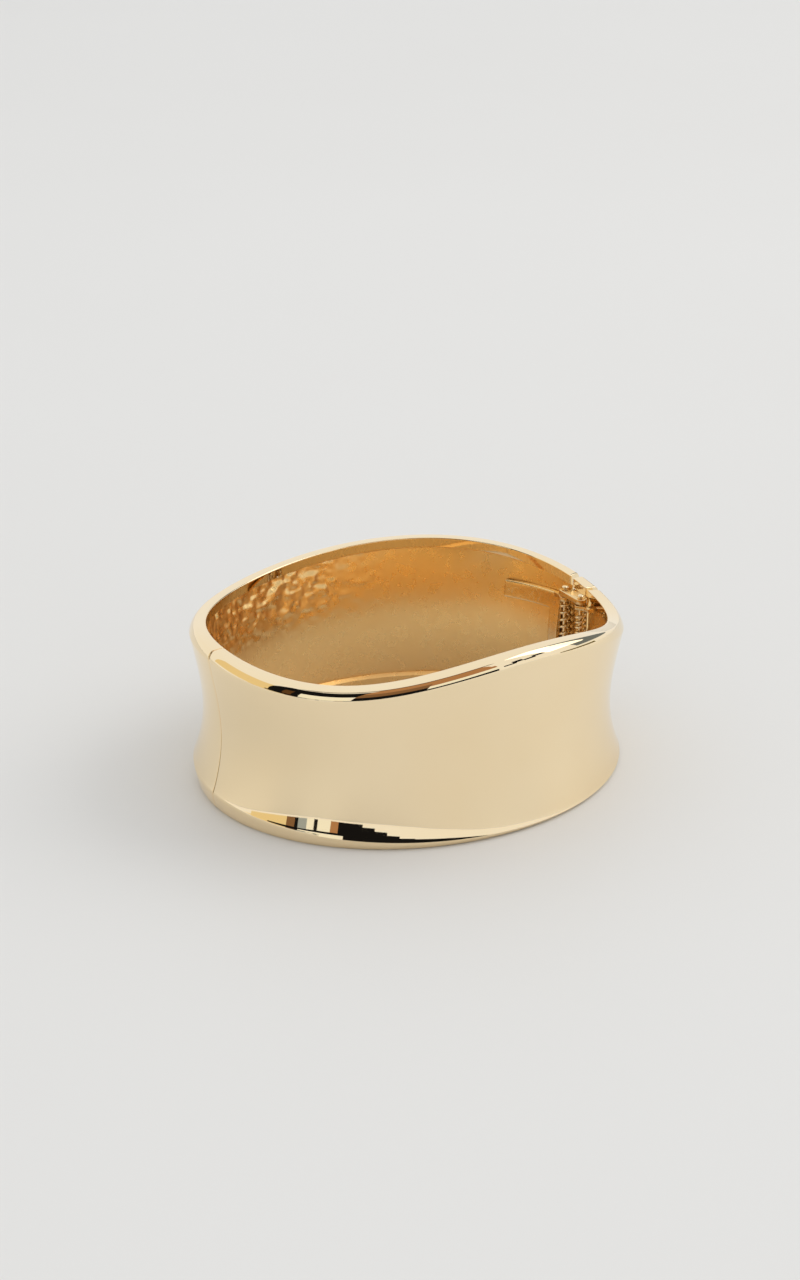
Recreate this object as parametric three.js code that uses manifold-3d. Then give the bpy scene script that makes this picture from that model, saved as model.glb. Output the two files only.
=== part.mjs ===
// Hinged cuff bracelet: two cast half shells with waved rims, joined by a sprung two-pin hinge.
// Millimetres, +Z up. The wrist passes along Z. The hinge is at +X and the seam at -X,
// the rear half lies on the +Y side and the front half on the -Y side.
// The origin is the middle of the plane that the lower rim stands on.
import * as THREE from 'three';
import { mergeVertices } from 'three/addons/utils/BufferGeometryUtils.js';
import Module from 'manifold-3d';

const wasm = await Module();
wasm.setup();

// Plan: the outer edge of both rims is an ellipse.
const HALF_LENGTH = 33;
const HALF_WIDTH = 28.8;

// The upper rim rises and falls round the wrist: each row adds a cosine with so many lobes.
const MEAN_HEIGHT = 24.5;
const WAVES = [
  { lobes: 1, rise: 1, crest: 228 },
  { lobes: 2, rise: 1.22, crest: 260 },
  { lobes: 3, rise: 1.22, crest: 284 },
  { lobes: 4, rise: 0.34, crest: 276 },
];

// Section of the wall, as distances in from the outer edge and down from the rim.
const WAIST_DEPTH = 1.65;
const ROLL_SHARE = 0.1;
const FLARE_POWER = 0.85;
const WALL = 1.2;
const LIP_WIDTH = 2.5;
const EDGE_HEIGHT = 1.4;
const LIP_BAND = 1.5;
const RECESS = 0.6;
const RECESS_FALL = 0.4;
const LOW_EDGE_HEIGHT = 1.95;
const LOW_EDGE_SWING = 1.35;
const LOW_EDGE_CREST = 126;
const EDGE_CURVE = [
  { inset: 0, down: 1 },
  { inset: 0.16, down: 0.65 },
  { inset: 0.4, down: 0.3 },
  { inset: 0.66, down: 0.08 },
  { inset: 0.9, down: 0 },
];
const LIP_ROUND = 0.25;
const WALL_ROWS = 6;
const SWEEP_STEP = 5;
const ABOVE = 35;
const BELOW = -1;

// Hinge: two upright pins, each with a coil spring, tie a short link to the two halves.
const GAP = 0.3;
const PIN_X = 29.3;
const PIN_Y = 2.1;
const PIN_RADIUS = 0.3;
const PIN_HEAD_RADIUS = 0.55;
const PIN_HEAD = 0.3;
const LINK_HALF = 1.9;
const SHELL_START = 2.3;
const OPENING_ANGLE = 18;
const PLATE = 0.8;
const LUG = 0.7;
const LUG_RADIUS = 0.95;
const LUG_REACH = 4.2;
const STACK_TOP = 20.7;
const STACK_BOTTOM = 1.3;
const COIL_RADIUS = 0.7;
const WIRE_RADIUS = 0.18;
const COIL_PITCH = 1.1;
const POCKET_X = 30.45;
const POCKET_Y = 3.4;
const POCKET_BACK = 26.3;
const WELD = 0.2;

// Leaf: a pressed C-shaped plate inside the rear half, whose two lugs hold the rear pin.
const LEAF_START = 7.8;
const LEAF_LEG_END = 12.2;
const LEAF_END = 31.2;
const LEAF_BAR = 2.7;
const LEAF_THICKNESS = 0.8;
const LEAF_RISE = 0.3;

const radians = THREE.MathUtils.degToRad;
const lugTop = STACK_TOP - PLATE - GAP;
const lugBottom = STACK_BOTTOM + PLATE + GAP;
const coilTop = lugTop - LUG - GAP;
const coilBottom = lugBottom + LUG + GAP;

// ---- Shape of the shell ----

function rimHeight(angle) {
  const rises = WAVES.map(({ lobes, rise, crest }) => rise * Math.cos(radians(lobes * (angle - crest))));
  return rises.reduce((sum, rise) => sum + rise, MEAN_HEIGHT);
}

function lowEdgeHeight(angle) {
  return LOW_EDGE_HEIGHT + LOW_EDGE_SWING * Math.cos(radians(angle - LOW_EDGE_CREST));
}

// A point of the plan: inset is measured square to the outer edge, toward the wrist.
function planPoint(angle, inset, z) {
  const cos = Math.cos(radians(angle));
  const sin = Math.sin(radians(angle));
  const outward = new THREE.Vector2(HALF_WIDTH * cos, HALF_LENGTH * sin).normalize();
  return new THREE.Vector3(
    HALF_LENGTH * cos - inset * outward.x,
    HALF_WIDTH * sin - inset * outward.y,
    z,
  );
}

// Inset of the concave outside at a fraction of the height between the two creases.
function waistInset(fraction) {
  const share = fraction ** FLARE_POWER;
  const bow = Math.sin(Math.PI * share);
  const roll = (1 - Math.cos(2 * Math.PI * share)) / 2;
  return WAIST_DEPTH * THREE.MathUtils.lerp(bow, roll, ROLL_SHARE);
}

// Inset of the inside of the wall at a fraction of the height between the two recess lines.
function innerInset(fraction) {
  return LIP_WIDTH - RECESS + WALL * Math.sin(Math.PI * fraction);
}

function innerSpan(angle) {
  const low = LIP_BAND + RECESS_FALL;
  return { low, high: rimHeight(angle) - low };
}

// Outline of the wall at one angle: up the outside, over the lip, down the inside, along the foot.
function wallSection(angle) {
  const top = rimHeight(angle);
  const lowEdge = lowEdgeHeight(angle);
  const outline = [];
  const add = (inset, z) => outline.push({ inset, z });
  [...EDGE_CURVE].reverse().forEach(({ inset, down }) => add(inset, lowEdge * down));
  for (let row = 1; row < WALL_ROWS; row += 1) {
    const fraction = row / WALL_ROWS;
    const z = THREE.MathUtils.lerp(lowEdge, top - EDGE_HEIGHT, fraction);
    add(waistInset(fraction), z);
  }
  EDGE_CURVE.forEach(({ inset, down }) => add(inset, top - EDGE_HEIGHT * down));
  add(LIP_WIDTH - LIP_ROUND, top);
  add(LIP_WIDTH, top - LIP_ROUND);
  add(LIP_WIDTH, top - LIP_BAND);
  const { low, high } = innerSpan(angle);
  for (let row = WALL_ROWS; row >= 0; row -= 1) {
    const fraction = row / WALL_ROWS;
    add(innerInset(fraction), THREE.MathUtils.lerp(low, high, fraction));
  }
  add(LIP_WIDTH, LIP_BAND);
  add(LIP_WIDTH, LIP_ROUND);
  add(LIP_WIDTH - LIP_ROUND, 0);
  return outline;
}

// Closed body made by carrying a section round the plan from one angle to another.
function sweep(sectionAt, from, to) {
  const steps = Math.ceil((to - from) / SWEEP_STEP);
  const positions = [];
  const triangles = [];
  const count = sectionAt(from).length;
  for (let step = 0; step <= steps; step += 1) {
    const angle = THREE.MathUtils.lerp(from, to, step / steps);
    sectionAt(angle).forEach(({ inset, z }) => positions.push(...planPoint(angle, inset, z)));
  }
  for (let step = 0; step < steps; step += 1) {
    for (let corner = 0; corner < count; corner += 1) {
      const next = (corner + 1) % count;
      const here = step * count;
      const ahead = here + count;
      triangles.push(here + corner, ahead + corner, ahead + next);
      triangles.push(here + corner, ahead + next, here + next);
    }
  }
  const capAt = (angle) => THREE.ShapeUtils.triangulateShape(
    sectionAt(angle).map(({ inset, z }) => new THREE.Vector2(-inset, z)), []);
  capAt(from).forEach(([a, b, c]) => triangles.push(a, b, c));
  const last = steps * count;
  capAt(to).forEach(([a, b, c]) => triangles.push(last + a, last + c, last + b));
  const geometry = new THREE.BufferGeometry();
  geometry.setAttribute('position', new THREE.Float32BufferAttribute(positions, 3));
  geometry.setIndex(triangles);
  return geometry;
}

// ---- Cutting and joining ----

function toSolid(geometry) {
  const bare = geometry.clone();
  bare.deleteAttribute('normal');
  bare.deleteAttribute('uv');
  const merged = mergeVertices(bare, 1e-4);
  return new wasm.Manifold(new wasm.Mesh({
    numProp: 3,
    vertProperties: new Float32Array(merged.getAttribute('position').array),
    triVerts: new Uint32Array(merged.index.array),
  }));
}

function toGeometry(solid) {
  const mesh = solid.getMesh();
  const geometry = new THREE.BufferGeometry();
  geometry.setAttribute('position', new THREE.BufferAttribute(mesh.vertProperties, 3));
  geometry.setIndex(new THREE.BufferAttribute(mesh.triVerts, 1));
  geometry.computeVertexNormals();
  return geometry;
}

function block(low, high) {
  const [x0, y0, z0] = low;
  const [x1, y1, z1] = high;
  const geometry = new THREE.BoxGeometry(x1 - x0, y1 - y0, z1 - z0);
  geometry.translate((x0 + x1) / 2, (y0 + y1) / 2, (z0 + z1) / 2);
  return toSolid(geometry);
}

function post(x, y, radius, low, high, sides = 24) {
  const geometry = new THREE.CylinderGeometry(radius, radius, high - low, sides);
  geometry.rotateX(Math.PI / 2);
  geometry.translate(x, y, (low + high) / 2);
  return toSolid(geometry);
}

// Upright prism over a triangle or other outline in plan.
function prism(corners, low, high) {
  const shape = new THREE.Shape(corners.map(([x, y]) => new THREE.Vector2(x, y)));
  const geometry = new THREE.ExtrudeGeometry(shape, { depth: high - low, bevelEnabled: false });
  geometry.translate(0, 0, low);
  return toSolid(geometry);
}

// ---- The pieces ----

// Room for the hinge at the end of a half: side is 1 for the rear half and -1 for the front half.
// The wedge lets the half swing open without its outer edge striking the link.
function openHingeEnd(shell, side) {
  const pocketTop = rimHeight(0) - LIP_BAND;
  const pocket = block(
    [POCKET_BACK, Math.min(0, side * POCKET_Y), LIP_BAND],
    [POCKET_X, Math.max(0, side * POCKET_Y), pocketTop],
  );
  const reach = HALF_LENGTH - PIN_X + 1;
  const start = side * (SHELL_START - GAP);
  const slope = side * reach * Math.tan(radians(OPENING_ANGLE));
  const wedge = prism(
    [[PIN_X, start], [PIN_X + reach, start], [PIN_X + reach, start + slope]],
    BELOW,
    ABOVE,
  );
  return shell.subtract(pocket).subtract(wedge);
}

function pinHoles(solid, sides) {
  return sides.reduce(
    (rest, side) => rest.subtract(post(PIN_X, side * PIN_Y, PIN_RADIUS + GAP / 2, BELOW, ABOVE)),
    solid,
  );
}

// A pair of round lugs on the pin, each with an arm that reaches back into the wall.
function lugs(side, armX) {
  const levels = [lugBottom, lugTop - LUG];
  const pieces = levels.flatMap((low) => {
    const near = side * PIN_Y;
    const far = side * LUG_REACH;
    return [
      post(PIN_X, near, LUG_RADIUS, low, low + LUG),
      block([armX.low, Math.min(near, far), low], [armX.high, Math.max(near, far), low + LUG]),
    ];
  });
  return pieces.reduce((sum, piece) => sum.add(piece));
}

function makeFrontHalf() {
  const seam = 180 + THREE.MathUtils.radToDeg(GAP / 2 / HALF_WIDTH);
  const hinge = 360 - THREE.MathUtils.radToDeg(Math.asin(SHELL_START / HALF_WIDTH));
  const shell = openHingeEnd(toSolid(sweep(wallSection, seam, hinge)), -1);
  const arms = { low: PIN_X, high: POCKET_X + WELD };
  return toGeometry(pinHoles(shell.add(lugs(-1, arms)), [-1]));
}

function makeRearHalf() {
  const hinge = THREE.MathUtils.radToDeg(Math.asin(SHELL_START / HALF_WIDTH));
  const seam = 180 - THREE.MathUtils.radToDeg(GAP / 2 / HALF_WIDTH);
  return toGeometry(openHingeEnd(toSolid(sweep(wallSection, hinge, seam)), 1));
}

// The link carries the same outer wall and lips, with a plate at top and bottom over both pins.
function makeHingeLink() {
  const reach = THREE.MathUtils.radToDeg(Math.asin(LINK_HALF / HALF_WIDTH));
  const wall = toSolid(sweep(wallSection, -reach, reach));
  const pocketTop = rimHeight(0) - LIP_BAND;
  const pocket = block([POCKET_BACK, -POCKET_Y, LIP_BAND], [POCKET_X, POCKET_Y, pocketTop]);
  const plates = [STACK_BOTTOM, STACK_TOP - PLATE].flatMap((low) => [
    block([PIN_X - LUG_RADIUS, -PIN_Y, low], [PIN_X, PIN_Y, low + PLATE]),
    block([PIN_X, -LINK_HALF, low], [POCKET_X + WELD, LINK_HALF, low + PLATE]),
    post(PIN_X, PIN_Y, LUG_RADIUS, low, low + PLATE),
    post(PIN_X, -PIN_Y, LUG_RADIUS, low, low + PLATE),
  ]);
  const solid = plates.reduce((sum, plate) => sum.add(plate), wall.subtract(pocket));
  return toGeometry(pinHoles(solid, [-1, 1]));
}

// Strip of plate that lies along the inside of the wall between two heights.
function leafStrip(from, to, low, high) {
  const sectionAt = (angle) => {
    const span = innerSpan(angle);
    const insetAt = (z) => innerInset((z - span.low) / (span.high - span.low)) + LEAF_RISE;
    const heights = Array.from({ length: WALL_ROWS }, (_, row) => (
      THREE.MathUtils.lerp(low, high, row / (WALL_ROWS - 1))));
    const outside = heights.map((z) => ({ inset: insetAt(z), z }));
    const inside = [...outside].reverse();
    return [...outside, ...inside.map(({ inset, z }) => ({ inset: inset + LEAF_THICKNESS, z }))];
  };
  return toSolid(sweep(sectionAt, from, to));
}

function makeHingeLeaf() {
  const arms = { low: PIN_X - LUG_RADIUS / 2, high: POCKET_X - GAP };
  const strips = [
    leafStrip(LEAF_START, LEAF_END, coilTop + LUG - LEAF_BAR, coilTop + LUG),
    leafStrip(LEAF_START, LEAF_END, coilBottom - LUG, coilBottom - LUG + LEAF_BAR),
    leafStrip(LEAF_START, LEAF_LEG_END, coilBottom, coilTop),
  ];
  const solid = strips.reduce((sum, strip) => sum.add(strip), lugs(1, arms));
  return toGeometry(pinHoles(solid, [1]));
}

function makePin(side) {
  const low = STACK_BOTTOM - GAP;
  const high = STACK_TOP + GAP;
  const shank = post(PIN_X, side * PIN_Y, PIN_RADIUS, low, high, 20);
  const heads = [low - PIN_HEAD, high].map((foot) => (
    post(PIN_X, side * PIN_Y, PIN_HEAD_RADIUS, foot, foot + PIN_HEAD, 20)));
  return toGeometry(heads.reduce((sum, head) => sum.add(head), shank));
}

class Helix extends THREE.Curve {
  constructor(radius, height, turns) {
    super();
    Object.assign(this, { radius, height, turns });
  }

  getPoint(fraction, target = new THREE.Vector3()) {
    const angle = 2 * Math.PI * this.turns * fraction;
    return target.set(
      this.radius * Math.cos(angle),
      this.radius * Math.sin(angle),
      this.height * fraction,
    );
  }
}

function makeSpring(side) {
  const height = coilTop - coilBottom - 2 * WIRE_RADIUS;
  const turns = Math.round(height / COIL_PITCH);
  const wire = new THREE.Shape(Array.from({ length: 6 }, (_, corner) => new THREE.Vector2(
    WIRE_RADIUS * Math.cos(corner * Math.PI / 3),
    WIRE_RADIUS * Math.sin(corner * Math.PI / 3),
  )));
  const geometry = new THREE.ExtrudeGeometry(wire, {
    steps: turns * 8,
    bevelEnabled: false,
    extrudePath: new Helix(COIL_RADIUS, height, turns),
  });
  geometry.translate(PIN_X, side * PIN_Y, coilBottom + WIRE_RADIUS);
  return geometry;
}

// ---- Assembly ----

const paleGold = { color: 0xecd2a2, roughness: 0.12, metalness: 1 };
const steelGold = { color: 0xd8b87c, roughness: 0.3, metalness: 1 };

const bracelet = new THREE.Group();

function addPiece(name, geometry, finish) {
  const piece = new THREE.Mesh(geometry, new THREE.MeshStandardMaterial(finish));
  piece.name = name;
  bracelet.add(piece);
}

addPiece('front_half', makeFrontHalf(), paleGold);
addPiece('rear_half', makeRearHalf(), paleGold);
addPiece('hinge_link', makeHingeLink(), paleGold);
addPiece('hinge_leaf', makeHingeLeaf(), paleGold);
addPiece('front_pin', makePin(-1), steelGold);
addPiece('rear_pin', makePin(1), steelGold);
addPiece('front_spring', makeSpring(-1), steelGold);
addPiece('rear_spring', makeSpring(1), steelGold);

export default bracelet;
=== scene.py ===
"""Looks of the hinged cuff bracelet: mirror-polished pale gold halves with a rough-cast inside,
a sprung two-pin hinge, a pale floor and soft studio light. Lengths are in metres."""
import math

import bmesh
import bpy
import numpy as np
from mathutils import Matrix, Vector


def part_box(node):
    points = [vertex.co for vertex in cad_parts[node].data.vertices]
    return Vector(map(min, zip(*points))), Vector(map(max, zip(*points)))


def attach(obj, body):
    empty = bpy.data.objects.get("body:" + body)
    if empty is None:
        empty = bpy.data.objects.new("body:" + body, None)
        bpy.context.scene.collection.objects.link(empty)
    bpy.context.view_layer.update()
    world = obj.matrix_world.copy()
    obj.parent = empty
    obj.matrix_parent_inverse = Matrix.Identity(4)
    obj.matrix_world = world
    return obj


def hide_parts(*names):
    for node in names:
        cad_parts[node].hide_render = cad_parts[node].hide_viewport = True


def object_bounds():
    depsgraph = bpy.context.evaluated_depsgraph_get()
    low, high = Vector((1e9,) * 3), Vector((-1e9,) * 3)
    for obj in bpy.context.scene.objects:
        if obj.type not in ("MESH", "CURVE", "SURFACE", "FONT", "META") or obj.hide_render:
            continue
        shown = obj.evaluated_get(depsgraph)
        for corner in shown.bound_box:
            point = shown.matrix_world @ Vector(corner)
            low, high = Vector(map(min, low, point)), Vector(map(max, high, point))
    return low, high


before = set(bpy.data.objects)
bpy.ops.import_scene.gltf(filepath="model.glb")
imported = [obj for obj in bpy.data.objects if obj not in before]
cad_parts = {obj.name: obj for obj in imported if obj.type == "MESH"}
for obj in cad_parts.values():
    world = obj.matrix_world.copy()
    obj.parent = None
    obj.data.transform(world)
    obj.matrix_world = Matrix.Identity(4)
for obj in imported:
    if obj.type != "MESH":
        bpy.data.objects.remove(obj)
cad_low, cad_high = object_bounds()

MM = 0.001

# ---- Plan and height of the shell, the same formulas as the CAD ----

HALF_LENGTH = (cad_high.x - cad_low.x) / 2
HALF_WIDTH = 28.8 * MM
MEAN_HEIGHT = 24.5 * MM
WAVES = (
    dict(lobes=1, rise=1 * MM, crest=228),
    dict(lobes=2, rise=1.22 * MM, crest=260),
    dict(lobes=3, rise=1.22 * MM, crest=284),
    dict(lobes=4, rise=0.34 * MM, crest=276),
)
LOW_EDGE_HEIGHT = 1.95 * MM
LOW_EDGE_SWING = 1.35 * MM
LOW_EDGE_CREST = 126

# Section of the wall.
WAIST_DEPTH = 1.65 * MM
ROLL_SHARE = 0.1
FLARE_POWER = 0.85
WALL = 1.2 * MM
LIP_WIDTH = 2.5 * MM
LIP_TOP_START = 0.9 * MM
LIP_CROWN = 0.1 * MM
EDGE_HEIGHT = 1.4 * MM
EDGE_SLOPE_SHARE = 0.4
LIP_BAND = 1.5 * MM
LIP_ROUND = 0.2 * MM
RECESS = 0.6 * MM
RECESS_FALL = 0.4 * MM
POCKET_INSET = 2.35 * MM

# Hinge, from the CAD nodes.
pin_low, pin_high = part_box("rear_pin")
spring_low, spring_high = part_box("rear_spring")
PIN_X = (pin_low.x + pin_high.x) / 2
PIN_Y = (pin_low.y + pin_high.y) / 2
PIN_RADIUS = 0.3 * MM
PIN_HEAD_RADIUS = (pin_high.x - pin_low.x) / 2
PIN_HEAD = 0.3 * MM
GAP = 0.3 * MM
LINK_HALF = 1.9 * MM
END_Y = 2.0 * MM
OPENING_ANGLE = math.radians(18)
POCKET_Y = 3.4 * MM
PLATE = 0.8 * MM
LUG = 0.7 * MM
LUG_RADIUS = 0.95 * MM
STACK_LOW = pin_low.z + PIN_HEAD + GAP
STACK_HIGH = pin_high.z - PIN_HEAD - GAP
SEAM_GAP = 0.09 * MM
SEAM_ROUND = 0.14 * MM

# How a rounded end face steps back, as shares of the round, and how far each step draws in.
ROUND_STEPS = np.array([0, 0.08, 0.3, 0.65, 1])
ROUND_SHRINK = np.array([1, 0.6, 0.28, 0.07])
SLANT_FADE = math.radians(20)

# Springs and the strip of plate behind them.
WIRE_RADIUS = 0.18 * MM
COIL_RADIUS = 0.7 * MM
FRONT_PITCH = 0.85 * MM
REAR_PITCH = 1.15 * MM
BACKING_HALF = 2.45 * MM
BACKING_INNER_X = 30.24 * MM
BACKING_OUTER_X = 30.32 * MM

# Link plate: a tongue runs out from between the eyes to the link's wall.
TONGUE_ROOT_X = 30.35 * MM
TONGUE_END_X = 30.6 * MM
TONGUE_HALF = 1.5 * MM

# Leaf: two bars along the inside of the rear wall and a leg beside the spring.
LEAF_START = math.radians(7.8)
LEAF_LEG_END = math.radians(12.2)
LEAF_END = math.radians(31.2)
LEAF_BAR = 2.7 * MM
LEAF_THICKNESS = 0.8 * MM
LEAF_RISE = 0.3 * MM
LEAF_ROUND = 0.14 * MM
PLATE_ROUND = 0.1 * MM

# The camera, aimed at a point above the middle of the object.
VIEW_AZIMUTH = math.radians(-30.9)
VIEW_ELEVATION = math.radians(23.46)
VIEW_DISTANCE = 0.4
VIEW_AIM = Vector((-1.06 * MM, 0.64 * MM, 19.48 * MM))
LENS = 76.2


# ---- Section of the wall ----

def rim_height(angle):
    """Height of the upper lip at plan angles in radians."""
    degrees = np.degrees(angle)
    height = np.full_like(degrees, MEAN_HEIGHT)
    for wave in WAVES:
        height += wave["rise"] * np.cos(np.radians(wave["lobes"] * (degrees - wave["crest"])))
    return height


def low_edge_height(angle):
    return LOW_EDGE_HEIGHT + LOW_EDGE_SWING * np.cos(angle - math.radians(LOW_EDGE_CREST))


def edge_inset(rise):
    """How far the rim's edge has curved in at a fraction of its way from crease to lip."""
    arc = 1 - np.sqrt(np.clip(1 - rise ** 2, 0, 1))
    return LIP_TOP_START * (EDGE_SLOPE_SHARE * rise + (1 - EDGE_SLOPE_SHARE) * arc)


def waist_inset(fraction):
    """The concave outer wall, which rolls back toward upright beside each crease."""
    share = fraction ** FLARE_POWER
    bow = np.sin(np.pi * share)
    roll = (1 - np.cos(2 * np.pi * share)) / 2
    return WAIST_DEPTH * ((1 - ROLL_SHARE) * bow + ROLL_SHARE * roll)


def inner_inset(fraction):
    return LIP_WIDTH - RECESS + WALL * np.sin(np.pi * fraction)


def corner(before, at, after, rows):
    """A small round through three (inset, z) pairs of arrays."""
    share = np.linspace(0, 1, rows)[:, None]
    return [
        (1 - share) ** 2 * a + 2 * share * (1 - share) * b + share ** 2 * c
        for a, b, c in zip(before, at, after)
    ]


def wall_section(angle, pocket=0.0):
    """The closed outline at each plan angle: up the outside, over the lip, down the inside
    and along the foot.

    Gives inset and z arrays of shape (rows, angles), and three row numbers: where the recessed
    inside starts and ends, and where the unpolished lower band ends.
    pocket runs from 0, the full wall, to 1, the thinner wall beside the hinge springs.
    """
    top = rim_height(angle)
    low_edge = low_edge_height(angle)
    zero = np.zeros_like(angle)
    insets, heights = [], []

    def add(inset, z):
        insets.append(inset + zero)
        heights.append(z + zero)

    def column(values):
        return np.asarray(values)[:, None]

    bend = column(np.sin(np.linspace(0.5, 0, 12) * np.pi))
    add(edge_inset(bend), low_edge * (1 - bend))
    rows = column(np.linspace(0, 1, 74)[1:-1])
    add(waist_inset(rows), low_edge + rows * (top - EDGE_HEIGHT - low_edge))
    bend = column(np.sin(np.linspace(0, 0.5, 16) * np.pi))
    add(edge_inset(bend), top - EDGE_HEIGHT * (1 - bend) - LIP_CROWN * bend)
    across = column(np.linspace(0, 1, 9)[1:])
    lip_end = LIP_WIDTH - LIP_ROUND
    add(
        LIP_TOP_START + across * (lip_end - LIP_TOP_START),
        top - LIP_CROWN * (1 - across) ** 2,
    )
    add(*corner((lip_end, top), (LIP_WIDTH, top), (LIP_WIDTH, top - LIP_ROUND), 6))
    add(column([LIP_WIDTH] * 4), top - column(np.linspace(LIP_ROUND * 1.2, LIP_BAND, 4)))
    inside_start = sum(len(part) for part in insets)
    low = LIP_BAND + RECESS_FALL
    rows = column(np.linspace(1, 0, 74))
    full = inner_inset(rows)
    inset = full + pocket * (np.minimum(full, POCKET_INSET) - full)
    add(inset, low + rows * (top - 2 * low))
    inside_end = sum(len(part) for part in insets)
    add(column([LIP_WIDTH] * 3), column(np.linspace(LIP_BAND, LIP_ROUND * 1.2, 3)))
    shaded_end = sum(len(part) for part in insets)
    add(*corner((LIP_WIDTH, LIP_ROUND), (LIP_WIDTH, 0), (lip_end, 0), 6))
    add(column(np.linspace(lip_end, LIP_TOP_START, 5)[1:-1]), column([0] * 3))
    return np.vstack(insets), np.vstack(heights), (inside_start, inside_end, shaded_end)


def plan_points(angle, inset, z):
    """Positions for plan angles and insets: inset is square to the outer ellipse."""
    cos, sin = np.cos(angle), np.sin(angle)
    out_x, out_y = HALF_WIDTH * cos, HALF_LENGTH * sin
    size = np.hypot(out_x, out_y)
    x = HALF_LENGTH * cos - inset * out_x / size
    y = HALF_WIDTH * sin - inset * out_y / size
    return np.stack(np.broadcast_arrays(x, y, z), -1)


def shrunk(inset, z, amount):
    """The outline drawn in by an amount at each angle, for the rounded edge of an end face."""
    ahead_i, ahead_z = np.roll(inset, -1, 0), np.roll(z, -1, 0)
    behind_i, behind_z = np.roll(inset, 1, 0), np.roll(z, 1, 0)
    run_i, run_z = ahead_i - behind_i, ahead_z - behind_z
    size = np.hypot(run_i, run_z) + 1e-12
    return inset + amount * run_z / size, z - amount * run_i / size


# ---- Meshes ----

def mesh_object(name, points, faces, materials, shades=None, sharp=35):
    mesh = bpy.data.meshes.new(name)
    mesh.from_pydata(np.asarray(points).tolist(), [], faces)
    for material in materials:
        mesh.materials.append(material)
    if shades is not None:
        mesh.polygons.foreach_set("material_index", shades)
    mesh.polygons.foreach_set("use_smooth", [True] * len(mesh.polygons))
    mesh.set_sharp_from_angle(angle=math.radians(sharp))
    mesh.update()
    obj = bpy.data.objects.new(name, mesh)
    bpy.context.scene.collection.objects.link(obj)
    return obj


def place(piece, body, slot, *nodes):
    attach(piece, body)
    if nodes:
        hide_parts(*nodes)
    return piece


def swept(name, angles, materials, pocket=None, end_shift=None, rounds=(), lumps=None):
    """A shell swept along plan angles. angles has shape (rings,).

    end_shift gives, for the section's insets, the extra angle at each ring.
    rounds lists (ring, amount) pairs where the outline is drawn in.
    """
    pocket = np.zeros_like(angles) if pocket is None else pocket
    inset, z, (start, end, shaded_end) = wall_section(angles, pocket)
    for ring, amount in rounds:
        inset[:, ring], z[:, ring] = (
            part[:, ring] for part in shrunk(inset, z, amount)
        )
    angle = np.broadcast_to(angles, inset.shape).copy()
    if end_shift is not None:
        angle += end_shift(inset)
    if lumps is not None:
        inset[start:end] -= lumps(angle[start:end], z[start:end], pocket)
    points = plan_points(angle, inset, z)
    rows, rings = inset.shape
    index = np.arange(rows * rings).reshape(rows, rings)
    below = np.roll(index, -1, 0)
    quads = np.stack([index[:, :-1], index[:, 1:], below[:, 1:], below[:, :-1]], -1)
    faces = quads.reshape(-1, 4).tolist()
    # These faces take the cast plating, whose deeper orange is partly painted bounce light from
    # the inside walls.
    inside = np.zeros((rows, rings - 1), int)
    inside[start - 1:shaded_end] = 1
    shades = inside.ravel().tolist() + [0, 0]
    faces.append(index[:, 0].tolist())
    faces.append(index[::-1, -1].tolist())
    return mesh_object(name, points.reshape(-1, 3), faces, materials, shades)


def smooth_noise(u, v, seed):
    """Soft random bumps of about unit size on a plane, from -1 to 1."""
    rng = np.random.default_rng(seed)
    size = 256
    values = rng.uniform(-1, 1, (size, size))
    iu, iv = np.floor(u).astype(int), np.floor(v).astype(int)
    fu, fv = u - iu, v - iv
    fu, fv = fu * fu * (3 - 2 * fu), fv * fv * (3 - 2 * fv)

    def at(du, dv):
        return values[(iu + du) % size, (iv + dv) % size]

    near = at(0, 0) * (1 - fu) + at(1, 0) * fu
    far = at(0, 1) * (1 - fu) + at(1, 1) * fu
    return near * (1 - fv) + far * fv


# ---- Materials ----

def new_material(name):
    material = bpy.data.materials.new(name)
    material.use_nodes = True
    nodes, links = material.node_tree.nodes, material.node_tree.links
    shader = nodes["Principled BSDF"]
    where = nodes.new("ShaderNodeTexCoord").outputs["Object"]
    return material, nodes, links, shader, where


def add_noise(nodes, links, where, size, detail=3.0, roughness=0.5):
    noise = nodes.new("ShaderNodeTexNoise")
    noise.inputs["Scale"].default_value = 1 / size
    noise.inputs["Detail"].default_value = detail
    noise.inputs["Roughness"].default_value = roughness
    links.new(where, noise.inputs["Vector"])
    return noise.outputs["Fac"]


def add_range(nodes, links, value, low, high, from_low=0.3, from_high=0.7):
    spread = nodes.new("ShaderNodeMapRange")
    spread.inputs["From Min"].default_value = from_low
    spread.inputs["From Max"].default_value = from_high
    spread.inputs["To Min"].default_value = low
    spread.inputs["To Max"].default_value = high
    links.new(value, spread.inputs["Value"])
    return spread.outputs["Result"]


def add_mix(nodes, links, share, first, second):
    mix = nodes.new("ShaderNodeMix")
    mix.data_type = "RGBA"
    mix.inputs["A"].default_value = (*first, 1)
    mix.inputs["B"].default_value = (*second, 1)
    links.new(share, mix.inputs["Factor"])
    return mix.outputs["Result"]


def add_bump(nodes, links, height, strength, distance, before=None):
    bump = nodes.new("ShaderNodeBump")
    bump.inputs["Strength"].default_value = strength
    bump.inputs["Distance"].default_value = distance
    links.new(height, bump.inputs["Height"])
    if before is not None:
        links.new(before, bump.inputs["Normal"])
    return bump.outputs["Normal"]


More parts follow.
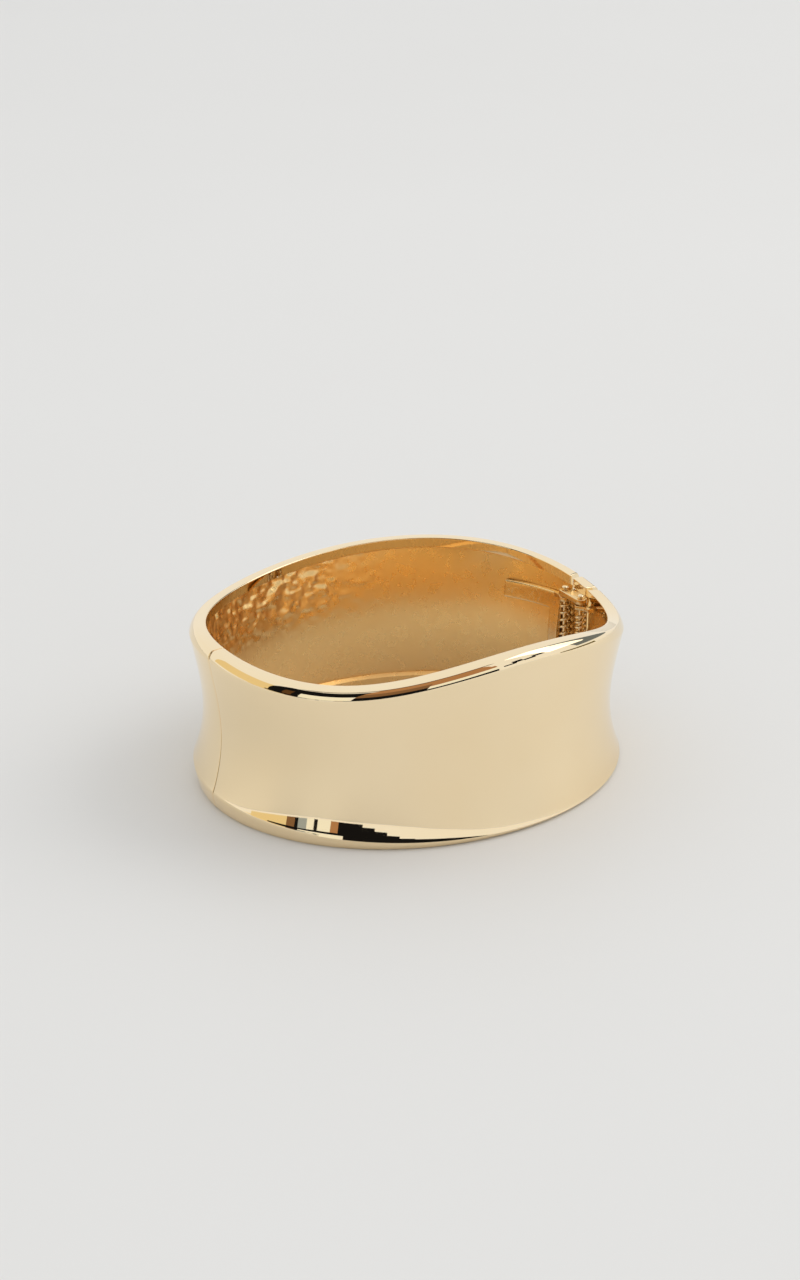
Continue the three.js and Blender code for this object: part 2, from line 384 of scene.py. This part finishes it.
def make_polished():
    """Mirror-polished plating: faint swells left by the buffing wheel and a few hairlines."""
    material, nodes, links, shader, where = new_material("polished_plating")
    shader.inputs["Metallic"].default_value = 1
    tone = add_noise(nodes, links, where, 14 * MM, 2)
    colour = add_mix(nodes, links, tone, (0.975, 0.785, 0.50), (1.0, 0.835, 0.57))
    links.new(colour, shader.inputs["Base Color"])
    smear = add_noise(nodes, links, where, 3 * MM, 4)
    links.new(add_range(nodes, links, smear, 0.012, 0.035), shader.inputs["Roughness"])
    swell = add_noise(nodes, links, where, 6 * MM, 1)
    normal = add_bump(nodes, links, swell, 0.15, 0.05 * MM)
    grain = add_noise(nodes, links, where, 0.5 * MM, 2)
    normal = add_bump(nodes, links, grain, 0.03, 0.01 * MM, normal)
    links.new(normal, shader.inputs["Normal"])
    return material


def make_cast_with_painted_bounce():
    """Plating over the casting's skin: lumpy and less bright. Its deeper orange colour is partly
    the rough cast finish and partly painted bounce light, the warm glow that reflections between
    the inside walls give.
    """
    material, nodes, links, shader, where = new_material("cast_plating_with_painted_bounce")
    shader.inputs["Metallic"].default_value = 1
    tone = add_noise(nodes, links, where, 7 * MM, 2)
    # Base colour deepened toward orange: partly the cast finish, partly painted bounce light from
    # the facing inside walls.
    colour = add_mix(nodes, links, tone, (1.0, 0.665, 0.27), (1.0, 0.705, 0.32))
    links.new(colour, shader.inputs["Base Color"])
    smear = add_noise(nodes, links, where, 1.6 * MM, 4)
    links.new(add_range(nodes, links, smear, 0.25, 0.32), shader.inputs["Roughness"])
    skin = add_noise(nodes, links, where, 1.2 * MM, 3, 0.5)
    normal = add_bump(nodes, links, skin, 0.07, 0.1 * MM)
    links.new(normal, shader.inputs["Normal"])
    return material


def make_satin():
    """Pressed plate with a fine rolled grain under the plating."""
    material, nodes, links, shader, where = new_material("satin_plating")
    shader.inputs["Metallic"].default_value = 1
    tone = add_noise(nodes, links, where, 2 * MM, 3)
    colour = add_mix(nodes, links, tone, (0.86, 0.60, 0.28), (0.93, 0.70, 0.39))
    links.new(colour, shader.inputs["Base Color"])
    smear = add_noise(nodes, links, where, 0.7 * MM, 4)
    links.new(add_range(nodes, links, smear, 0.14, 0.3), shader.inputs["Roughness"])
    grain = add_noise(nodes, links, where, 0.35 * MM, 3)
    links.new(add_bump(nodes, links, grain, 0.2, 0.03 * MM), shader.inputs["Normal"])
    return material


def make_wire():
    """Drawn wire and pin stock, bright on the crests and duller where it rubs."""
    material, nodes, links, shader, where = new_material("wire_plating")
    shader.inputs["Metallic"].default_value = 1
    tone = add_noise(nodes, links, where, 1.2 * MM, 3)
    colour = add_mix(nodes, links, tone, (0.90, 0.68, 0.38), (0.96, 0.80, 0.54))
    links.new(colour, shader.inputs["Base Color"])
    smear = add_noise(nodes, links, where, 0.5 * MM, 3)
    links.new(add_range(nodes, links, smear, 0.08, 0.22), shader.inputs["Roughness"])
    draw = add_noise(nodes, links, where, 0.2 * MM, 2)
    links.new(add_bump(nodes, links, draw, 0.15, 0.02 * MM), shader.inputs["Normal"])
    return material


def make_floor_finish():
    material, nodes, links, shader, where = new_material("pale_floor")
    tone = add_noise(nodes, links, where, 0.25, 3)
    colour = add_mix(nodes, links, tone, (0.735, 0.725, 0.705), (0.775, 0.77, 0.755))
    links.new(colour, shader.inputs["Base Color"])
    shader.inputs["Roughness"].default_value = 0.55
    shader.inputs["Specular IOR Level"].default_value = 0.3
    return material


def make_glow(name, colour, strength):
    material = bpy.data.materials.new(name)
    material.use_nodes = True
    nodes, links = material.node_tree.nodes, material.node_tree.links
    nodes.remove(nodes["Principled BSDF"])
    glow = nodes.new("ShaderNodeEmission")
    glow.inputs["Color"].default_value = (*colour, 1)
    glow.inputs["Strength"].default_value = strength
    links.new(glow.outputs["Emission"], nodes["Material Output"].inputs["Surface"])
    return material


polished = make_polished()
cast_with_painted_bounce = make_cast_with_painted_bounce()
satin = make_satin()
wire = make_wire()


# ---- The two halves ----

def end_angles(side, inset):
    """Plan angle of the hinge end face at each inset. It slants so that the half can swing."""
    reach = HALF_LENGTH - inset - PIN_X
    y = END_Y + np.clip(reach, 0, None) * math.tan(OPENING_ANGLE)
    return side * np.arcsin(y / (HALF_WIDTH - inset))


def half_rings(side):
    """Plan angles from the hinge end to the seam, closer at both ends and at the pocket."""
    first = end_angles(1, np.array(0.0))
    pocket_end = math.asin(POCKET_Y / HALF_WIDTH) + math.radians(1)
    seam = math.pi - SEAM_GAP / HALF_WIDTH
    fine = SEAM_ROUND / HALF_WIDTH
    ends = first + fine * ROUND_STEPS
    before = np.linspace(ends[-1], pocket_end, 7)[1:]
    step = np.array([0.0008, 0.003])
    body = np.linspace(pocket_end + 0.008, seam - 4 * fine, 236)
    close = seam - fine * ROUND_STEPS[::-1]
    angles = np.concatenate([ends, before, pocket_end + step, body, close])
    pocket = (angles <= pocket_end + 1e-9).astype(float)
    order = side * angles
    if side < 0:
        return order[::-1] + 2 * math.pi, pocket[::-1]
    return order, pocket


def cast_lumps(angle, z, pocket):
    """Heaped casting skin: strong high on the seam side of the rear half, faint elsewhere."""
    along, up = angle * HALF_LENGTH / MM, z / MM
    coarse = smooth_noise(along / 0.9, up / 0.8, 11)
    fine = smooth_noise(along / 0.5, up / 0.45, 12)
    turn = np.degrees(angle) % 360
    patch = np.exp(-((turn - 125) / 44) ** 4) * np.clip((up - 12) / 6, 0, 1)
    amount = 0.26 * patch
    return MM * amount * (0.65 * coarse + 0.35 * fine) * (1 - pocket)


def end_rounds(rings):
    """The (ring, amount) pairs that draw in the outline at both ends of a run of rings."""
    last = len(rings) - 1
    amounts = list(enumerate(SEAM_ROUND * ROUND_SHRINK))
    return amounts + [(last - ring, amount) for ring, amount in amounts]


def make_half(name, side):
    rings, pocket = half_rings(side)

    def shift(inset):
        away = np.abs(np.where(rings > math.pi, rings - 2 * math.pi, rings))
        fade = np.clip(1 - (away - abs(end_angles(1, np.array(0.0)))) / SLANT_FADE, 0, 1)
        return (end_angles(side, inset) - end_angles(side, np.array(0.0))) * fade

    return swept(name, rings, [polished, cast_with_painted_bounce], pocket, shift, end_rounds(rings), cast_lumps)


front_shell = make_half("front_shell", -1)
rear_shell = make_half("rear_shell", 1)
place(front_shell, "front", "plated_cast_metal", "front_half")
place(rear_shell, "rear", "plated_cast_metal", "rear_half")


# ---- Hinge pieces ----

def slab(name, outline, low, high, material, round_by):
    """A flat plate over a plan outline, with rounded edges."""
    shape = bmesh.new()
    base = [shape.verts.new((x, y, low)) for x, y in outline]
    face = shape.faces.new(base)
    raised = bmesh.ops.extrude_face_region(shape, geom=[face])["geom"]
    tops = [item for item in raised if isinstance(item, bmesh.types.BMVert)]
    bmesh.ops.translate(shape, vec=(0, 0, high - low), verts=tops)
    bmesh.ops.recalc_face_normals(shape, faces=shape.faces)
    mesh = bpy.data.meshes.new(name)
    shape.to_mesh(mesh)
    shape.free()
    mesh.materials.append(material)
    mesh.polygons.foreach_set("use_smooth", [True] * len(mesh.polygons))
    obj = bpy.data.objects.new(name, mesh)
    bpy.context.scene.collection.objects.link(obj)
    bevel = obj.modifiers.new("round", "BEVEL")
    bevel.width = round_by
    bevel.segments = 3
    bevel.limit_method = "ANGLE"
    bevel.angle_limit = math.radians(40)
    return obj


def arc(x, y, radius, start, end, steps):
    turn = np.radians(np.linspace(start, end, steps))
    return [(x + radius * math.cos(a), y + radius * math.sin(a)) for a in turn]


def link_outline():
    """Both pins in round ends, with a tongue out to the link's wall."""
    rear = arc(PIN_X, PIN_Y, LUG_RADIUS, 0, 180, 14)
    front = arc(PIN_X, -PIN_Y, LUG_RADIUS, 180, 360, 14)
    tongue = [
        (TONGUE_ROOT_X, -TONGUE_HALF), (TONGUE_END_X, -TONGUE_HALF),
        (TONGUE_END_X, TONGUE_HALF), (TONGUE_ROOT_X, TONGUE_HALF),
    ]
    return front + tongue + rear


def lug_outline(side):
    """A round eye on the pin with an arm that runs back along the wall."""
    y = side * PIN_Y
    arm_end = side * (POCKET_Y + 0.9 * MM)
    eye = arc(PIN_X, y, LUG_RADIUS, 0, -side * 180, 16)
    arm_x = PIN_X + LUG_RADIUS
    inner_x = PIN_X - LUG_RADIUS * (0.1 if side < 0 else 0.6)
    return eye + [(inner_x, y + side * LUG_RADIUS), (inner_x, arm_end), (arm_x, arm_end)]


def make_link():
    reach = math.asin(LINK_HALF / HALF_WIDTH)
    fine = SEAM_ROUND / HALF_WIDTH
    start = ROUND_STEPS * fine - reach
    rings = np.concatenate([start, np.linspace(start[-1], -start[-1], 16)[1:-1], -start[::-1]])
    pocket = np.ones_like(rings)
    wall = swept("link_wall", rings, [polished, cast_with_painted_bounce], pocket, None, end_rounds(rings))
    place(wall, "link", "plated_cast_metal", "hinge_link")
    for name, low in (("link_plate_low", STACK_LOW), ("link_plate_high", STACK_HIGH - PLATE)):
        plate = slab(name, link_outline(), low, low + PLATE, satin, PLATE_ROUND)
        place(plate, "link", "plated_cast_metal")
    outline = [
        (BACKING_INNER_X, -BACKING_HALF), (BACKING_OUTER_X, -BACKING_HALF),
        (BACKING_OUTER_X, BACKING_HALF), (BACKING_INNER_X, BACKING_HALF),
    ]
    backing = slab(
        "link_backing", outline, spring_low.z, spring_high.z, satin, 0.03 * MM)
    place(backing, "link", "plated_pressed_metal")


LUG_LEVELS = {
    "low": STACK_LOW + PLATE + GAP,
    "high": STACK_HIGH - PLATE - GAP - LUG,
}


def make_lugs(prefix, side, body):
    for level, low in LUG_LEVELS.items():
        lug = slab(f"{prefix}_lug_{level}", lug_outline(side), low, low + LUG, satin, PLATE_ROUND)
        place(lug, body, "plated_pressed_metal")


def make_leaf():
    """C-shaped pressed plate: two bars along the wall and a leg beside the spring."""
    low, high = spring_low.z - LUG, spring_high.z + LUG

    def inset_at(angle, z):
        recess = LIP_BAND + RECESS_FALL
        fraction = (z - recess) / (rim_height(angle) - 2 * recess)
        return inner_inset(np.clip(fraction, 0, 1)) + LEAF_RISE

    shape = bmesh.new()
    columns = np.concatenate([
        np.linspace(LEAF_START, LEAF_LEG_END, 9),
        np.linspace(LEAF_LEG_END, LEAF_END, 33)[1:],
    ])
    rows = np.concatenate([
        np.linspace(low, low + LEAF_BAR, 7),
        np.linspace(low + LEAF_BAR, high - LEAF_BAR, 25)[1:],
        np.linspace(high - LEAF_BAR, high, 7)[1:],
    ])
    solid_rows = len(rows)
    front_side, back_side = {}, {}
    for i, a in enumerate(columns):
        for j, z in enumerate(rows):
            in_leg = i <= 8
            in_bar = j <= 6 or j >= solid_rows - 7
            if not (in_leg or in_bar):
                continue
            near = float(inset_at(np.array(a), np.array(z)))
            for side, extra in ((back_side, 0.0), (front_side, LEAF_THICKNESS)):
                point = plan_points(np.array(a), np.array(near + extra), np.array(z))
                side[i, j] = shape.verts.new(point.tolist())
    for side, flip in ((front_side, False), (back_side, True)):
        for i in range(len(columns) - 1):
            for j in range(solid_rows - 1):
                keys = [(i, j), (i + 1, j), (i + 1, j + 1), (i, j + 1)]
                if all(key in side for key in keys):
                    corners = [side[key] for key in keys]
                    is_open = i >= 8 and 6 <= j < solid_rows - 7
                    if not is_open:
                        shape.faces.new(corners[::-1] if flip else corners)
    boundary = [edge for edge in shape.edges if edge.is_boundary]
    front_to_back = {front_side[key]: back_side[key] for key in front_side}
    for edge in boundary:
        a, b = edge.verts
        if a in front_to_back and b in front_to_back:
            shape.faces.new([a, b, front_to_back[b], front_to_back[a]])
    bmesh.ops.recalc_face_normals(shape, faces=shape.faces)
    mesh = bpy.data.meshes.new("hinge_leaf_plate")
    shape.to_mesh(mesh)
    shape.free()
    mesh.materials.append(satin)
    mesh.polygons.foreach_set("use_smooth", [True] * len(mesh.polygons))
    obj = bpy.data.objects.new("hinge_leaf_plate", mesh)
    bpy.context.scene.collection.objects.link(obj)
    bevel = obj.modifiers.new("round", "BEVEL")
    bevel.width = LEAF_ROUND
    bevel.segments = 3
    bevel.limit_method = "ANGLE"
    bevel.angle_limit = math.radians(50)
    place(obj, "rear", "plated_pressed_metal", "hinge_leaf")


def lathe(name, profile, x, y, material, sides=40):
    """A turned piece about an upright axis: profile rows are (radius, z), closed on the axis."""
    turn = np.linspace(0, 2 * math.pi, sides, endpoint=False)
    points, faces = [], []
    for radius, z in profile:
        points += [(x + radius * math.cos(a), y + radius * math.sin(a), z) for a in turn]
    for ring in range(len(profile) - 1):
        for k in range(sides):
            ahead = (k + 1) % sides
            low, high = ring * sides, (ring + 1) * sides
            faces.append((low + k, low + ahead, high + ahead, high + k))
    faces.append(tuple(range(sides))[::-1])
    faces.append(tuple(range((len(profile) - 1) * sides, len(profile) * sides)))
    return mesh_object(name, points, faces, [material], None, 40)


def pin_profile():
    """A straight shank with a domed head at each end."""
    neck_low, neck_high = pin_low.z + PIN_HEAD, pin_high.z - PIN_HEAD
    dome = [
        (PIN_HEAD_RADIUS * math.cos(a), neck_high + PIN_HEAD * math.sin(a))
        for a in np.radians(np.linspace(0, 85, 9))
    ]
    foot = [(radius, neck_low - (z - neck_high)) for radius, z in reversed(dome)]
    return foot + [(PIN_RADIUS, neck_low), (PIN_RADIUS, neck_high)] + dome


def make_pin(name, side):
    piece = lathe(f"{name}_turned", pin_profile(), PIN_X, side * PIN_Y, wire)
    place(piece, "link", "plated_wire", name)


def make_spring(name, side, pitch):
    """A coil of round wire round a pin."""
    low, high = spring_low.z + WIRE_RADIUS, spring_high.z - WIRE_RADIUS
    turns = (high - low) / pitch
    steps = int(turns * 24)
    share = np.linspace(0, 1, steps + 1)
    turn = 2 * math.pi * turns * share
    sides = 10
    round_wire = np.linspace(0, 2 * math.pi, sides, endpoint=False)
    centre = np.stack([
        PIN_X + COIL_RADIUS * np.cos(turn),
        side * PIN_Y + COIL_RADIUS * np.sin(turn),
        low + (high - low) * share,
    ], -1)
    out = np.stack([np.cos(turn), np.sin(turn), np.zeros_like(turn)], -1)
    up = np.array([0, 0, 1.0])
    ring = (
        centre[:, None]
        + WIRE_RADIUS * np.cos(round_wire)[None, :, None] * out[:, None]
        + WIRE_RADIUS * np.sin(round_wire)[None, :, None] * up
    )
    faces = []
    for step in range(steps):
        for k in range(sides):
            ahead = (k + 1) % sides
            a, b = step * sides, (step + 1) * sides
            faces.append((a + k, b + k, b + ahead, a + ahead))
    faces.append(tuple(range(sides)))
    faces.append(tuple(range(steps * sides, (steps + 1) * sides))[::-1])
    piece = mesh_object(f"{name}_coil", ring.reshape(-1, 3), faces, [wire], None, 60)
    place(piece, "link", "plated_wire", name)


make_link()
make_lugs("front", -1, "front")
make_lugs("rear", 1, "rear")
make_leaf()
make_pin("front_pin", -1)
make_pin("rear_pin", 1)
make_spring("front_spring", -1, FRONT_PITCH)
make_spring("rear_spring", 1, REAR_PITCH)


# ---- Stage, light and camera ----

def around(azimuth, distance, height):
    """A place round the object, in degrees: 0 is toward the camera and 90 is to its right."""
    turn = math.radians(azimuth) + VIEW_AZIMUTH
    return Vector((math.sin(turn) * distance, -math.cos(turn) * distance, height))


def make_floor():
    half = 3.0
    points = [(-half, -half, 0), (half, -half, 0), (half, half, 0), (-half, half, 0)]
    floor = mesh_object("floor", points, [(0, 1, 2, 3)], [make_floor_finish()])


def make_card(name, azimuths, elevations, material, distance=1.3):
    """A curved studio card that only reflections and light see."""
    columns = max(2, int(abs(azimuths[1] - azimuths[0]) / 4) + 1)
    turns = np.linspace(*azimuths, columns)
    low, high = (distance * math.tan(math.radians(e)) for e in elevations)
    points = [around(a, distance, low) for a in turns] + [around(a, distance, high) for a in turns]
    faces = [(k, k + 1, columns + k + 1, columns + k) for k in range(columns - 1)]
    card = mesh_object(name, [tuple(p) for p in points], faces, [material])
    card.visible_camera = False
    card.visible_diffuse = False
    card.visible_shadow = False
    return card


def make_cards():
    """The dark end of the studio behind the camera, with its lit openings.

    Each row gives the span round the object, the span above the floor and the tone."""
    tones = dict(
        black=make_glow("card_black", (0.008, 0.008, 0.009), 1),
        brown=make_glow("card_brown", (0.10, 0.05, 0.02), 1),
        umber=make_glow("card_umber", (0.22, 0.12, 0.06), 1),
        copper=make_glow("card_copper", (0.42, 0.22, 0.11), 1),
        tan=make_glow("card_tan", (0.80, 0.66, 0.38), 1),
        white=make_glow("card_white", (0.90, 0.93, 0.90), 1),
        slate=make_glow("card_slate", (0.34, 0.40, 0.46), 1),
        grey=make_glow("card_grey", (0.16, 0.19, 0.22), 1),
        olive=make_glow("card_olive", (0.16, 0.13, 0.04), 1),
    )
    rows = (
        ("tan_wall", (-105, -60), (5, 34), "tan"),
        ("dark_corner", (-60, -43), (10, 52), "black"),
        ("corner_post", (-52, -47), (12, 30), "brown"),
        ("low_dark_left", (-62, -18), (7, 10), "black"),
        ("window_left", (-43, -20), (11, 24), "white"),
        ("window_head", (-43, -18), (26, 50), "black"),
        ("low_dark_front", (-18, 16), (7, 22), "black"),
        ("low_dark_right", (16, 50), (8, 16), "black"),
        ("copper_front", (-18, 14), (22, 36), "umber"),
        ("copper_front_high", (-18, 48), (36, 56), "copper"),
        ("window_right", (14, 50), (16, 26), "white"),
        ("copper_right", (14, 50), (26, 36), "copper"),
        ("dark_cornice", (-60, 60), (56, 62), "brown"),
        ("rail_one", (53, 61), (16, 20), "black"),
        ("rail_two", (59, 66), (19, 27), "black"),
        ("rail_three", (66, 74), (17, 22), "black"),
        ("rail_four", (73, 82), (20, 26), "black"),
        ("slate_wall", (84, 104), (22, 50), "slate"),
        ("grey_wall", (104, 165), (8, 44), "grey"),
        ("foot_yellow", (-74, -50), (0.8, 7), "tan"),
        ("foot_umber", (-50, -45), (0.8, 7), "umber"),
        ("foot_dark", (-45, -43), (0.8, 7), "black"),
        ("foot_slate", (-43, -38), (0.8, 7), "slate"),
        ("foot_white", (-38, -34), (0.8, 7), "white"),
        ("foot_post", (-34, -32), (0.8, 7), "black"),
        ("foot_pane", (-32, -25), (0.8, 7), "white"),
        ("foot_copper", (-25, -21), (0.8, 7), "copper"),
        ("foot_door", (-21, -9), (0.8, 7), "black"),
        ("foot_step_one", (-9, -3), (2, 7), "black"),
        ("foot_step_two", (-3, 3), (3.4, 7), "black"),
        ("foot_step_three", (3, 9), (5, 7), "black"),
        ("foot_olive", (88, 120), (1, 4), "olive"),
    )
    for step, (name, azimuths, elevations, tone) in enumerate(rows):
        make_card(name, azimuths, elevations, tones[tone], 1.3 - 0.004 * step)


def make_light(name, azimuth, distance, height, size, power, colour):
    data = bpy.data.lights.new(name, "AREA")
    data.shape = "RECTANGLE"
    data.size, data.size_y = size
    data.energy = power
    data.color = colour
    light = bpy.data.objects.new(name, data)
    light.location = around(azimuth, distance, height)
    toward = Vector((0, 0, 0.01)) - light.location
    light.rotation_mode = "QUATERNION"
    light.rotation_quaternion = toward.to_track_quat("-Z", "Y")
    bpy.context.scene.collection.objects.link(light)


def make_world():
    world = bpy.data.worlds.new("studio")
    world.use_nodes = True
    backdrop = world.node_tree.nodes["Background"]
    backdrop.inputs["Color"].default_value = (0.95, 0.96, 0.97, 1)
    backdrop.inputs["Strength"].default_value = 0.93
    bpy.context.scene.world = world


def make_camera():
    data = bpy.data.cameras.new("camera")
    data.lens = LENS
    data.sensor_width = 36
    data.clip_start = 0.01
    camera = bpy.data.objects.new("camera", data)
    back = Vector((
        math.sin(VIEW_AZIMUTH) * math.cos(VIEW_ELEVATION),
        -math.cos(VIEW_AZIMUTH) * math.cos(VIEW_ELEVATION),
        math.sin(VIEW_ELEVATION),
    ))
    camera.location = VIEW_AIM + back * VIEW_DISTANCE
    camera.rotation_mode = "QUATERNION"
    camera.rotation_quaternion = back.to_track_quat("Z", "Y")
    bpy.context.scene.collection.objects.link(camera)
    bpy.context.scene.camera = camera


make_floor()
make_cards()
make_light("key", 105, 0.9, 0.75, (0.9, 0.9), 3.6, (1, 0.97, 0.93))
make_world()
make_camera()
bpy.context.scene.view_settings.view_transform = "Standard"
